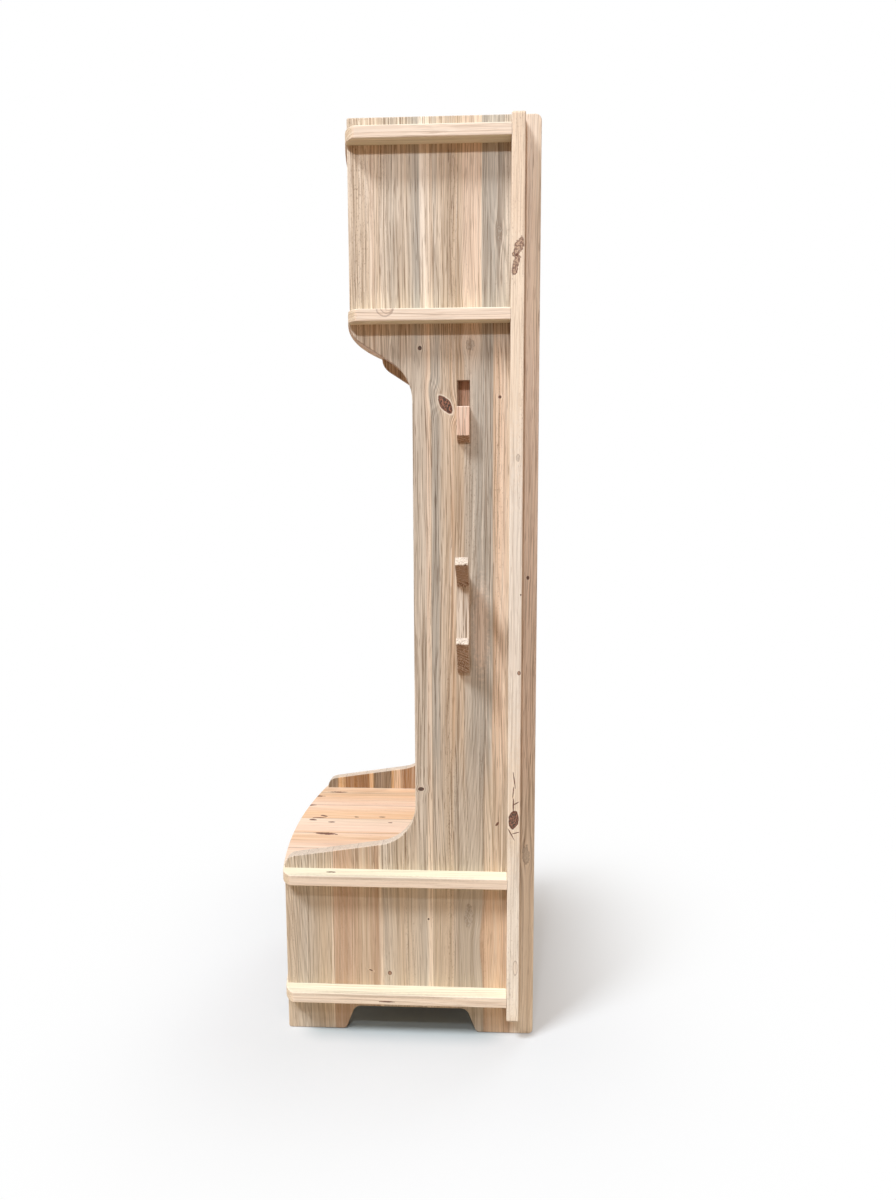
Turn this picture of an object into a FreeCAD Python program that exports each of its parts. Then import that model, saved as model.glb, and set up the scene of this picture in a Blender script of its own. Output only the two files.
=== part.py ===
import FreeCAD
import Part
import math
import os

# Slot-together hall stand with a bench seat, a coat column and an overhead cabinet.
# Two sides, a back and four shelves cross each other in halving joints, and the ends of the shelves and
# of the back stand proud outside the sides. Four double hooks drop into mortises in the sides.
# Millimetres, +Z up, front towards -Y, origin on the floor under the middle of the whole stand.

# Boards
side_thickness = 28.0
back_thickness = 28.0
shelf_thickness = 25.0
edge_ease = 2.5

# Halving joints
inner_width = 512.0
ear = 40.0
joint_play = 0.2
halving_share = 0.5

# Outline of the sides, measured forwards from their back edge and up from the floor
stand_height = 2000.0
base_depth = 568.0
column_depth = 267.0
cabinet_depth = 397.0
arm_front_rise = 25.5
arm_back_rise = 71.0
bracket_drop = 22.5
bracket_fall = 84.0
arm_nose_radius = 27.0
column_radius = 94.0
bracket_nose_radius = 40.0
cabinet_top_radius = 4.0
back_top_radius = 13.0
heel_radius = 11.0
toe_radius = 6.0

# Arch between the two feet of a side
rear_foot_length = 130.0
front_foot_length = 135.0
foot_radius = 10.0
arch_height = 57.0
arch_run = 22.0
arch_radius = 20.0

# Back panel
back_setback = 33.0
back_bottom = 52.0
back_top_drop = 8.0
back_corner_radius = 6.0

# Shelves: the top shelf hangs from the top of the sides, and the hat shelf from the top shelf
top_shelf_drop = 54.0
cabinet_opening = 329.5
seat_height = 392.0
bottom_shelf_height = 111.0
shelf_overhang = 28.0
bow_radius = 1640.0
shelf_shoulder_radius = 55.0
shelf_corner_radius = 12.0
# Part of a front corner's quarter turn that its wide shoulder takes before the tight corner
shelf_shoulder_share = 0.55

# Screws through the back into the rear edges of the shelves
screw_length = 70.0
screw_diameter = 5.0
screw_head_diameter = 10.0
screw_head_height = 3.0
screw_tip_length = 7.0
screw_tip_diameter = 0.8
drive_width = 1.4
drive_span = 5.6
drive_depth = 2.0
screw_play = 0.15
screw_place_shares = (-0.80, -0.28, 0.28, 0.80)

# Double hooks: one flat board each, measured out from the face of the side and from the top of the neck
hook_thickness = 26.8
hook_play = 0.3
hook_setback = 158.4
hook_headroom = 5.5
hook_spacing = 419.0
hook_reach = 120.0
hook_rise = 110.0
hook_drop = 151.0
stem_depth = 38.0
hook_lift = 55.0
lift_spare = 2.0
neck_height = 21.0
lip_depth = 24.0
lip_slope = 13.0
hook_ease = 1.6
tip_radius = 3.0
tail_radius = 6.0
knee_radius = 14.0
lower_throat_radius = 7.0
upper_throat_radius = 24.0
lip_radius = 2.5

# Prong corners as shares of the reach and of the rise or the drop
upper_root_share = 0.53
upper_tip_back_shares = (0.83, 1.00)
upper_tip_front_shares = (1.00, 0.87)
upper_throat_share = 0.44
lower_throat_share = 0.56
lower_tip_back_shares = (0.53, 0.42)
lower_tip_front_shares = (0.65, 0.50)
knee_share = 0.77
tail_share = 0.08

# Cuts run past the surface by this much
overrun = 5.0
# Points nearer than this are one point
tolerance = 1e-6

# Places worked out from the sizes above
up = FreeCAD.Vector(0, 0, 1)
inner_face = inner_width / 2
outer_face = inner_face + side_thickness
half_width = outer_face + ear
back_front = back_setback + back_thickness
back_top = stand_height - back_top_drop
rear_plane = (base_depth + shelf_overhang) / 2
lip_drop = hook_lift - lift_spare
arm_front_height = seat_height + arm_front_rise
arm_back_height = seat_height + arm_back_rise
top_shelf_underside = stand_height - top_shelf_drop
hat_shelf_underside = top_shelf_underside - cabinet_opening - shelf_thickness
bracket_high_height = hat_shelf_underside - bracket_drop
bracket_low_height = bracket_high_height - bracket_fall
inner_hook_level = hat_shelf_underside - hook_headroom - hook_lift - hook_rise
outer_hook_level = inner_hook_level - hook_spacing
shelf_undersides = {
    "top_shelf": top_shelf_underside,
    "hat_shelf": hat_shelf_underside,
    "seat_board": seat_height - shelf_thickness,
    "bottom_shelf": bottom_shelf_height - shelf_thickness,
}
shelf_side_depths = {
    "top_shelf": cabinet_depth,
    "hat_shelf": cabinet_depth,
    "seat_board": base_depth,
    "bottom_shelf": base_depth,
}
screw_nodes = {
    "top_shelf": "top_shelf_screws",
    "hat_shelf": "hat_shelf_screws",
    "seat_board": "seat_screws",
    "bottom_shelf": "bottom_shelf_screws",
}
hook_levels = {"inner": inner_hook_level, "outer": outer_hook_level}


def box(x_low, x_high, depth_low, depth_high, z_low, z_high):
    """Box between two heights, with its depths measured forwards from the rear plane."""
    corner = FreeCAD.Vector(x_low, rear_plane - depth_high, z_low)
    return Part.makeBox(x_high - x_low, depth_high - depth_low, z_high - z_low, corner)


def rounded_wire(corners, place):
    """Closed wire round corners given as (across, up, radius), each eased by a tangent arc."""
    bends = []
    for index, (across, rise, radius) in enumerate(corners):
        here = FreeCAD.Vector(across, rise, 0)
        behind = FreeCAD.Vector(*corners[index - 1][:2], 0) - here
        ahead = FreeCAD.Vector(*corners[(index + 1) % len(corners)][:2], 0) - here
        behind.normalize()
        ahead.normalize()
        half_angle = behind.getAngle(ahead) / 2
        reach = radius / math.tan(half_angle)
        inward = behind + ahead
        inward.normalize()
        middle = here + inward * (radius / math.sin(half_angle) - radius)
        bends.append((here + behind * reach, middle, here + ahead * reach, radius))
    edges = []
    for index, (start, middle, stop, radius) in enumerate(bends):
        last = bends[index - 1][2]
        if (start - last).Length > tolerance:
            edges.append(Part.LineSegment(place(last), place(start)).toShape())
        if radius > 0:
            edges.append(Part.Arc(place(start), place(middle), place(stop)).toShape())
    return Part.Wire(edges)


def eased(prism, along, ease):
    """Prism with the rims of its two flat ends rounded."""
    rims = []
    for edge in prism.Edges:
        if abs(edge.tangentAt(edge.FirstParameter).dot(along)) < tolerance:
            rims.append(edge)
    return prism.makeFillet(ease, rims)


def halving_depth(side_depth):
    """Depth at which the slot of a shelf meets the slot of a side."""
    return back_front + (side_depth - back_front) * halving_share


def back_halving_height():
    """Height at which the slot of the back meets the slot of a side."""
    return back_bottom + (back_top - back_bottom) * halving_share


def side_outline():
    """Corners of a side, from the heel forwards along the floor and round over the top."""
    front_arch = base_depth - front_foot_length
    return [
        (0, 0, heel_radius),
        (rear_foot_length, 0, foot_radius),
        (rear_foot_length + arch_run, arch_height, arch_radius),
        (front_arch - arch_run, arch_height, arch_radius),
        (front_arch, 0, foot_radius),
        (base_depth, 0, toe_radius),
        (base_depth, arm_front_height, arm_nose_radius),
        (column_depth, arm_back_height, column_radius),
        (column_depth, bracket_low_height, column_radius),
        (cabinet_depth, bracket_high_height, bracket_nose_radius),
        (cabinet_depth, stand_height, cabinet_top_radius),
        (0, stand_height, back_top_radius),
    ]


def mortise(level):
    """Opening that a hook drops through, tall enough for its lip."""
    half = hook_thickness / 2 + hook_play
    return box(
        inner_face - overrun,
        outer_face + overrun,
        hook_setback - half,
        hook_setback + half,
        level - neck_height,
        level + hook_lift + hook_play,
    )


def side_panel():
    """Right side with its slots for the shelves and the back, and its two mortises."""
    wire = rounded_wire(
        side_outline(),
        lambda flat: FreeCAD.Vector(inner_face, rear_plane - flat.x, flat.y),
    )
    along = FreeCAD.Vector(side_thickness, 0, 0)
    panel = eased(Part.Face(wire).extrude(along), FreeCAD.Vector(1, 0, 0), edge_ease)
    across = (inner_face - overrun, outer_face + overrun)
    cuts = []
    for name, underside in shelf_undersides.items():
        depth = shelf_side_depths[name]
        top = underside + shelf_thickness + joint_play
        cuts.append(box(*across, halving_depth(depth), depth + overrun, underside, top))
    cuts.append(
        box(
            *across,
            back_setback - joint_play,
            back_front,
            back_halving_height(),
            stand_height + overrun,
        )
    )
    for level in hook_levels.values():
        cuts.append(mortise(level))
    return panel.cut(cuts)


def shelf_wire(front_depth, underside):
    """Outline of a shelf: straight back and ends, bowed front, and front corners that turn in two arcs."""
    rear = rear_plane - back_front
    front = rear_plane - front_depth
    bow_centre = FreeCAD.Vector(0, front + bow_radius, underside)
    shoulder_turn = math.pi / 2 * shelf_shoulder_share
    outward = FreeCAD.Vector(math.sin(shoulder_turn), -math.cos(shoulder_turn), 0)
    step = outward * (shelf_shoulder_radius - shelf_corner_radius)
    shoulder_x = half_width - shelf_corner_radius - step.x
    shoulder_reach = math.sqrt((bow_radius - shelf_shoulder_radius) ** 2 - shoulder_x**2)
    shoulder = FreeCAD.Vector(shoulder_x, bow_centre.y - shoulder_reach, underside)
    corner = shoulder + step
    forward = shoulder - bow_centre
    forward.normalize()
    on_bow = bow_centre + forward * bow_radius
    on_shoulder = corner + outward * shelf_corner_radius
    on_end = FreeCAD.Vector(half_width, corner.y, underside)
    apex = FreeCAD.Vector(0, front, underside)
    rear_right = FreeCAD.Vector(half_width, rear, underside)
    rear_left = FreeCAD.Vector(-half_width, rear, underside)

    def mirrored(point):
        return FreeCAD.Vector(-point.x, point.y, point.z)

    def arc(centre, radius, start, stop):
        aim = (start - centre) + (stop - centre)
        aim.normalize()
        return Part.Arc(start, centre + aim * radius, stop).toShape()

    left_shoulder = mirrored(on_shoulder)
    return Part.Wire([
        Part.LineSegment(rear_left, rear_right).toShape(),
        Part.LineSegment(rear_right, on_end).toShape(),
        arc(corner, shelf_corner_radius, on_end, on_shoulder),
        arc(shoulder, shelf_shoulder_radius, on_shoulder, on_bow),
        Part.Arc(on_bow, apex, mirrored(on_bow)).toShape(),
        arc(mirrored(shoulder), shelf_shoulder_radius, mirrored(on_bow), left_shoulder),
        arc(mirrored(corner), shelf_corner_radius, left_shoulder, mirrored(on_end)),
        Part.LineSegment(mirrored(on_end), rear_left).toShape(),
    ])


def shelf(name):
    """Bowed shelf with a slot from its rear edge for each side and holes for its screws."""
    underside = shelf_undersides[name]
    side_depth = shelf_side_depths[name]
    wire = shelf_wire(side_depth + shelf_overhang, underside)
    board = eased(Part.Face(wire).extrude(up * shelf_thickness), up, edge_ease)
    slot = box(
        inner_face - joint_play / 2,
        outer_face + joint_play / 2,
        back_front - overrun,
        halving_depth(side_depth),
        underside - overrun,
        underside + shelf_thickness + overrun,
    )
    return board.cut([slot, other_side(slot)] + screws(name, screw_play))


def back_panel():
    """Upright back with a slot from below for each side and holes for all the screws."""
    corners = [
        (-half_width, back_bottom, back_corner_radius),
        (half_width, back_bottom, back_corner_radius),
        (half_width, back_top, back_corner_radius),
        (-half_width, back_top, back_corner_radius),
    ]
    wire = rounded_wire(
        corners,
        lambda flat: FreeCAD.Vector(flat.x, rear_plane - back_front, flat.y),
    )
    along = FreeCAD.Vector(0, back_thickness, 0)
    board = eased(Part.Face(wire).extrude(along), FreeCAD.Vector(0, 1, 0), edge_ease)
    slot = box(
        inner_face - joint_play / 2,
        outer_face + joint_play / 2,
        back_setback - overrun,
        back_front + overrun,
        back_bottom - overrun,
        back_halving_height(),
    )
    cuts = [slot, other_side(slot)]
    for name in shelf_undersides:
        cuts += screws(name, screw_play)
    return board.cut(cuts)


def screw_blank(head, play):
    """Countersunk screw pointing forwards from the middle of its head, grown all round by the play."""
    forwards = FreeCAD.Vector(0, -1, 0)
    head_radius = screw_head_diameter / 2 + play
    shank_radius = screw_diameter / 2 + play
    shank_length = screw_length - screw_tip_length
    countersink = Part.makeCone(head_radius, shank_radius, screw_head_height, head, forwards)
    shank = Part.makeCylinder(shank_radius, shank_length, head, forwards)
    tip = Part.makeCone(
        shank_radius,
        screw_tip_diameter / 2 + play,
        screw_tip_length + play,
        head + forwards * shank_length,
        forwards,
    )
    return countersink.fuse([shank, tip]).removeSplitter()


def drive_recess(head):
    """Cross recess in the head of a screw."""
    half_span = drive_span / 2
    half_blade = drive_width / 2
    blades = []
    for half_x, half_z in ((half_span, half_blade), (half_blade, half_span)):
        corner = head - FreeCAD.Vector(half_x, drive_depth, half_z)
        size = (half_x * 2, drive_depth + overrun, half_z * 2)
        blades.append(Part.makeBox(*size, corner))
    return blades


def screws(name, play):
    """Row of screws into the rear edge of one shelf; holes for them where there is play."""
    row = []
    for share in screw_place_shares:
        head = FreeCAD.Vector(
            inner_face * share,
            rear_plane - back_setback,
            shelf_undersides[name] + shelf_thickness / 2,
        )
        blank = screw_blank(head, play)
        row.append(blank if play else blank.cut(drive_recess(head)))
    return row


def hook_outline():
    """Corners of a hook, out from the face of the side and up from the top of its neck."""
    near = hook_play
    far = -side_thickness - hook_play
    lip_face = far - lip_depth
    neck_foot = -neck_height
    lip_foot = neck_foot - lip_drop

    def upper(shares):
        return hook_reach * shares[0], hook_rise * shares[1], tip_radius

    def lower(shares):
        return hook_reach * shares[0], -hook_drop * shares[1], tip_radius

    return [
        (near, -hook_drop, 0),
        (hook_reach * tail_share, -hook_drop, tail_radius),
        (stem_depth, -hook_drop * knee_share, knee_radius),
        lower(lower_tip_front_shares),
        lower(lower_tip_back_shares),
        (stem_depth, -hook_drop * lower_throat_share, lower_throat_radius),
        (stem_depth, hook_rise * upper_throat_share, upper_throat_radius),
        upper(upper_tip_front_shares),
        upper(upper_tip_back_shares),
        (near, hook_rise * upper_root_share, 0),
        (near, 0, 0),
        (lip_face, 0, lip_radius),
        (lip_face, lip_foot + lip_slope, lip_radius),
        (far, lip_foot, 0),
        (far, neck_foot, 0),
        (near, neck_foot, 0),
    ]


def hook(facing):
    """Hook in the right side, with its prongs outside or inside the stand."""
    level = hook_levels[facing]
    face = outer_face if facing == "outer" else inner_face
    way = 1 if facing == "outer" else -1
    flank = rear_plane - hook_setback - hook_thickness / 2
    wire = rounded_wire(
        hook_outline(),
        lambda flat: FreeCAD.Vector(face + flat.x * way, flank, level + flat.y),
    )
    along = FreeCAD.Vector(0, hook_thickness, 0)
    return eased(Part.Face(wire).extrude(along), FreeCAD.Vector(0, 1, 0), hook_ease)


def other_side(shape):
    """The same shape mirrored to the other side of the stand."""
    return shape.mirror(FreeCAD.Vector(0, 0, 0), FreeCAD.Vector(1, 0, 0))


def build():
    """All pieces by name."""
    pieces = {"back_panel": back_panel()}
    right_side = side_panel()
    pieces["side_panel_right"] = right_side
    pieces["side_panel_left"] = other_side(right_side)
    for name in shelf_undersides:
        pieces[name] = shelf(name)
        pieces[screw_nodes[name]] = Part.makeCompound(screws(name, 0))
    for facing in hook_levels:
        right_hook = hook(facing)
        pieces[facing + "_hook_right"] = right_hook
        pieces[facing + "_hook_left"] = other_side(right_hook)
    return pieces


os.makedirs("parts", exist_ok=True)
for node, shape in build().items():
    shape.exportStep("parts/" + node + ".step")
    print(node, len(shape.Solids), shape.isValid(), round(shape.Volume))
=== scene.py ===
import math

import bmesh
import bpy
from mathutils import Matrix, Vector

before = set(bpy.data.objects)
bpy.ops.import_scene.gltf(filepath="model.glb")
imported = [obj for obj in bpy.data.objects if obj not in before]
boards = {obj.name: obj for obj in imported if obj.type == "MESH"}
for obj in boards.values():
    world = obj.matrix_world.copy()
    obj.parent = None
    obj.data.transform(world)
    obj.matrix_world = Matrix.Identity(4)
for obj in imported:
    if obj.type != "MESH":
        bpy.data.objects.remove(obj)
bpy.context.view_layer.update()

print("frame loaded:", len(boards), "pieces")


# Tones of the stock, written as screen colours

screenCurve = {"top": 255, "knee": 0.04045, "slope": 12.92, "lift": 0.055, "power": 2.4}


def tone(red, green, blue):
    def linear(level):
        level /= screenCurve["top"]
        if level <= screenCurve["knee"]:
            return level / screenCurve["slope"]
        return ((level + screenCurve["lift"]) / (1 + screenCurve["lift"])) ** screenCurve["power"]
    return (linear(red), linear(green), linear(blue), 1.0)


woodTones = {
    "silver": tone(209, 196, 179),
    "slate": tone(186, 178, 166),
    "ash": tone(188, 173, 154),
    "stone": tone(210, 190, 165),
    "oat": tone(222, 203, 180),
    "sand": tone(213, 190, 164),
    "clay": tone(202, 170, 142),
    "honey": tone(213, 172, 124),
    "bronze": tone(161, 120, 80),
    "smoke": tone(133, 112, 87),
    "rust": tone(162, 120, 86),
    # painted shade for the part of the inner hooks that sits in the mortises
    "mortiseShade": tone(194, 140, 106),
    "apricot": tone(224, 193, 162),
    "peach": tone(238, 214, 191),
    "cream": tone(242, 223, 200),
    "blush": tone(251, 231, 212),
    "milk": tone(250, 238, 222),
    "ivory": tone(252, 235, 213),
    # pale wood with a painted highlight, for the ear tops
    "butterHighlight": tone(242, 238, 213),
    "chalk": tone(254, 247, 236),
    "pearl": tone(227, 214, 200),
    "pink": tone(250, 216, 194),
    "rose": tone(241, 209, 186),
    "coral": tone(233, 192, 153),
    "lineShade": tone(164, 145, 127),
    "greyStain": tone(168, 157, 142),
    "endGrey": tone(212, 197, 182),
    "knotRed": tone(158, 104, 82),
    "knotDeep": tone(104, 62, 47),
    "knotTan": tone(182, 142, 110),
    "shadeBrown": tone(140, 122, 104),
    "bark": tone(50, 31, 22),
}


# Small helpers for building node trees

def feed(tree, socket, value):
    if isinstance(value, bpy.types.NodeSocket):
        tree.links.new(value, socket)
    else:
        socket.default_value = value


def calc(tree, operation, *values):
    node = tree.nodes.new("ShaderNodeMath")
    node.operation = operation
    for socket, value in zip(node.inputs, values):
        feed(tree, socket, value)
    return node.outputs[0]


def vectorCalc(tree, operation, *values):
    node = tree.nodes.new("ShaderNodeVectorMath")
    node.operation = operation
    for socket, value in zip(node.inputs, values):
        feed(tree, socket, value)
    return node.outputs["Value" if operation == "LENGTH" else "Vector"]


def split(tree, vector):
    node = tree.nodes.new("ShaderNodeSeparateXYZ")
    feed(tree, node.inputs[0], vector)
    return tuple(node.outputs)


def join(tree, *values):
    node = tree.nodes.new("ShaderNodeCombineXYZ")
    for socket, value in zip(node.inputs, values):
        feed(tree, socket, value)
    return node.outputs[0]


def channels(tree, colour):
    node = tree.nodes.new("ShaderNodeSeparateColor")
    feed(tree, node.inputs[0], colour)
    return tuple(node.outputs)


def invert(tree, share):
    return calc(tree, "SUBTRACT", 1.0, share)


def centred(tree, share):  # a share from 0 to 1 becomes one from -0.5 to 0.5
    return calc(tree, "SUBTRACT", share, 0.5)


def span(tree, share, low, high):  # low at share 0, high at share 1
    return calc(tree, "MULTIPLY_ADD", share, high - low, low)


def ease(tree, value, low, high):  # 0 below low, 1 above high, smooth between
    node = tree.nodes.new("ShaderNodeMapRange")
    node.interpolation_type = "SMOOTHSTEP"
    for label, setting in (("Value", value), ("From Min", low), ("From Max", high)):
        feed(tree, node.inputs[label], setting)
    return node.outputs["Result"]


def between(tree, value, rise, top, fall, foot):  # a bump: up from rise to top, down from fall to foot
    down = invert(tree, ease(tree, value, fall, foot))
    return calc(tree, "MULTIPLY", ease(tree, value, rise, top), down)


def blend(tree, share, first, second, style="MIX"):
    node = tree.nodes.new("ShaderNodeMix")
    node.data_type = "RGBA"
    node.blend_type = style
    for number, setting in ((0, share), (6, first), (7, second)):  # the factor and the two colours
        feed(tree, node.inputs[number], setting)
    return node.outputs[2]


def layer(tree, colour, mask, share, over, style="MIX"):  # lays a tone over a colour where the mask is
    return blend(tree, calc(tree, "MULTIPLY", mask, share), colour, over, style)


def noise(tree, vector, scale, detail=2.0, roughness=0.5):
    node = tree.nodes.new("ShaderNodeTexNoise")
    stretched = vectorCalc(tree, "MULTIPLY", vector, scale)
    settings = {"Vector": stretched, "Scale": 1.0, "Detail": detail, "Roughness": roughness}
    for label, setting in settings.items():
        feed(tree, node.inputs[label], setting)
    return node.outputs


def chanceOf(tree, first, second):  # a random colour for a pair of numbers
    node = tree.nodes.new("ShaderNodeTexWhiteNoise")
    node.noise_dimensions = "3D"
    feed(tree, node.inputs["Vector"], join(tree, first, second, 0.5))
    return node.outputs["Color"]


def newGroup(name, inputs, outputs):
    group = bpy.data.node_groups.new(name, "ShaderNodeTree")
    kinds = {"value": "NodeSocketFloat", "vector": "NodeSocketVector", "colour": "NodeSocketColor"}
    for label, start in inputs.items():
        kind = "value" if isinstance(start, float) else "vector" if len(start) == 3 else "colour"
        socket = group.interface.new_socket(name=label, in_out="INPUT", socket_type=kinds[kind])
        socket.default_value = start
    for label, kind in outputs.items():
        group.interface.new_socket(name=label, in_out="OUTPUT", socket_type=kinds[kind])
    return group, group.nodes.new("NodeGroupInput").outputs, group.nodes.new("NodeGroupOutput").inputs


def place(tree, group, settings):
    node = tree.nodes.new("ShaderNodeGroup")
    node.node_tree = group
    for label, setting in settings.items():
        feed(tree, node.inputs[label], setting)
    return node.outputs


def newMaterial(name):
    material = bpy.data.materials.new(name)
    material.use_nodes = True
    tree = material.node_tree
    return material, tree, tree.nodes["Principled BSDF"]


def addBump(tree, shader, height, strength, distance):
    bump = tree.nodes.new("ShaderNodeBump")
    bump.inputs["Strength"].default_value = strength
    bump.inputs["Distance"].default_value = distance
    feed(tree, bump.inputs["Height"], height)
    feed(tree, shader.inputs["Normal"], bump.outputs["Normal"])


# what a group's vector and chance inputs hold until a board sets them
noPlace = (0.0, 0.0, 0.0)
evenChance = (0.5, 0.5, 0.5, 1.0)


# Glued staves: a board vector runs across the staves, through the board and along the grain

seamFade = (0.0003, 0.0013)  # from the dark of the glue line out to clear wood


def makeStaveGroup():
    group, given, put = newGroup(
        "glued staves",
        {"Board": noPlace, "Stave Width": 0.11, "First Seam": 0.0, "Seed": 0.0},
        {"Place": "vector", "Chance": "colour", "Seam": "value"})
    across, through, along = split(group, given["Board"])
    offset = calc(group, "SUBTRACT", across, given["First Seam"])
    steps = calc(group, "DIVIDE", offset, given["Stave Width"])
    index = calc(group, "FLOOR", steps)
    share = calc(group, "SUBTRACT", steps, index)
    local = calc(group, "MULTIPLY", centred(group, share), given["Stave Width"])
    nearest = calc(group, "MINIMUM", share, invert(group, share))
    gap = calc(group, "MULTIPLY", nearest, given["Stave Width"])
    feed(group, put["Place"], join(group, local, through, along))
    feed(group, put["Chance"], chanceOf(group, index, given["Seed"]))
    feed(group, put["Seam"], invert(group, ease(group, gap, *seamFade)))
    return group


# Growth rings cut by the faces: most staves have their pith well to one side, so their lines run straight,
# and a few are cut flat over it and show arches

ringLook = {
    "shift": 40.0,  # sets one stave's noise apart from the next
    "waves": ((9.0, 9.0, 1.4), 3.0), "wander": (0.3, 1.0),  # flat and straight staves
    "pithAside": (0.09, 0.24), "flatAside": 0.01, "pithDepth": (0.02, 0.07),
    "uneven": ((60.0, 1.0, 1.0), 1.0), "unevenYears": 2.4,
    "fading": (0.35, 0.6), "faded": (0.4, 1.0), "years": (0.1, 1.0),  # weak and strong years
    "late": (0.45, 0.8, 0.88, 1.0), "early": (0.0, 0.1, 0.2, 0.5),  # parts of a year
}


def makeRingGroup(look):
    group, given, put = newGroup(
        "growth rings",
        {"Place": noPlace, "Chance": evenChance, "Ring Width": 0.007, "Slant": 0.05, "Wander": 0.03,
         "Flat": 0.2, "Push": 0.0},
        {"Late": "value", "Early": "value"})
    across, through, along = split(group, given["Place"])
    luckA, luckB, luckC = channels(group, given["Chance"])
    shift = calc(group, "MULTIPLY", luckA, look["shift"])
    apart = vectorCalc(group, "ADD", given["Place"], join(group, shift, 0.0, shift))
    waves = channels(group, noise(group, apart, *look["waves"])["Color"])
    side = calc(group, "SIGN", centred(group, luckC))
    straight = calc(group, "LESS_THAN", luckB, invert(group, given["Flat"]))
    wander = calc(group, "MULTIPLY", given["Wander"], span(group, straight, *look["wander"]))
    sway = calc(group, "MULTIPLY", centred(group, waves[0]), wander)
    aside = span(group, luckA, *look["pithAside"])
    away = calc(group, "MULTIPLY_ADD", aside, straight, look["flatAside"])
    sideways = calc(group, "SUBTRACT", across, calc(group, "MULTIPLY", side, away))
    slope = calc(group, "MULTIPLY", centred(group, luckB), given["Slant"])
    leaning = calc(group, "MULTIPLY_ADD", slope, along, through)
    depth = calc(group, "ADD", span(group, luckB, *look["pithDepth"]), leaning)
    squares = [calc(group, "MULTIPLY", length, length) for length in (sideways, depth)]
    radius = calc(group, "SQRT", calc(group, "ADD", *squares))
    radius = calc(group, "ADD", calc(group, "ADD", radius, sway), given["Push"])
    uneven = noise(group, join(group, radius, shift, 0.0), *look["uneven"])["Fac"]
    even = calc(group, "DIVIDE", radius, given["Ring Width"])
    count = calc(group, "MULTIPLY_ADD", uneven, look["unevenYears"], even)
    year = calc(group, "FLOOR", count)
    season = calc(group, "SUBTRACT", count, year)
    luck = channels(group, chanceOf(group, year, shift))
    fading = span(group, ease(group, waves[1], *look["fading"]), *look["faded"])
    strength = calc(group, "MULTIPLY", fading, span(group, luck[0], *look["years"]))
    feed(group, put["Late"], calc(group, "MULTIPLY", between(group, season, *look["late"]), strength))
    feed(group, put["Early"], calc(group, "MULTIPLY", between(group, season, *look["early"]), luck[1]))
    return group


# Long fibres, pores, and the slow change of colour along a stave: noise scales, with detail and roughness

fibreLook = {
    "apart": (3.0, 5.0, 7.0), "drift": (7.0, 7.0, 1.8), "driftWidth": 0.03,
    "lines": ((400.0, 400.0, 4.0), 2.0, 0.55), "lineEdge": (0.5, 0.62),
    "slow": ((34.0, 14.0, 1.1), 4.0, 0.6), "slowEdge": (0.5, 0.7),
    "strokes": ((460.0, 460.0, 20.0), 1.0), "strokeEdge": (0.6, 0.7),
    "dots": ((460.0, 460.0, 170.0), 1.0), "dotEdge": (0.58, 0.7),
    "broad": ((170.0, 170.0, 1.6), 3.0, 0.6), "fine": (620.0, 620.0, 14.0),
}


def makeFibreGroup(look):
    results = ("Streak", "Pale Line", "Stroke", "Broad", "Fine", "Dots", "Patch", "Stain", "Warmth")
    group, given, put = newGroup(
        "wood fibres",
        {"Place": noPlace, "Chance": evenChance, "Push": 0.0},
        {label: "value" for label in results})
    apart = vectorCalc(group, "MULTIPLY_ADD", given["Chance"], look["apart"], given["Place"])
    drift = centred(group, noise(group, apart, look["drift"])["Fac"])
    aside = calc(group, "MULTIPLY_ADD", drift, look["driftWidth"], given["Push"])
    point = vectorCalc(group, "ADD", apart, join(group, aside, 0.0, 0.0))
    lines = channels(group, noise(group, point, *look["lines"])["Color"])
    for label, channel in zip(("Streak", "Pale Line"), lines):
        feed(group, put[label], ease(group, channel, *look["lineEdge"]))
    slow = channels(group, noise(group, point, *look["slow"])["Color"])
    for label, channel in zip(("Stain", "Warmth", "Patch"), slow):
        feed(group, put[label], ease(group, channel, *look["slowEdge"]))
    strokes = noise(group, point, *look["strokes"])["Fac"]
    feed(group, put["Stroke"], ease(group, strokes, *look["strokeEdge"]))
    dots = noise(group, point, *look["dots"])["Fac"]
    feed(group, put["Dots"], ease(group, dots, *look["dotEdge"]))
    feed(group, put["Broad"], noise(group, point, *look["broad"])["Fac"])
    feed(group, put["Fine"], noise(group, point, look["fine"])["Fac"])
    return group


# Pine grain: rings, fibres and stains laid over the broad tone of a board

grainLook = {
    "staveLines": (0.65, 1.25),  # how strong the lines are differs by stave
    "fineHills": 0.5, "hillMiddle": 0.75, "streakDip": 0.4, "fineRelief": 0.4, "fineDryness": 0.2,
}


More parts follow.
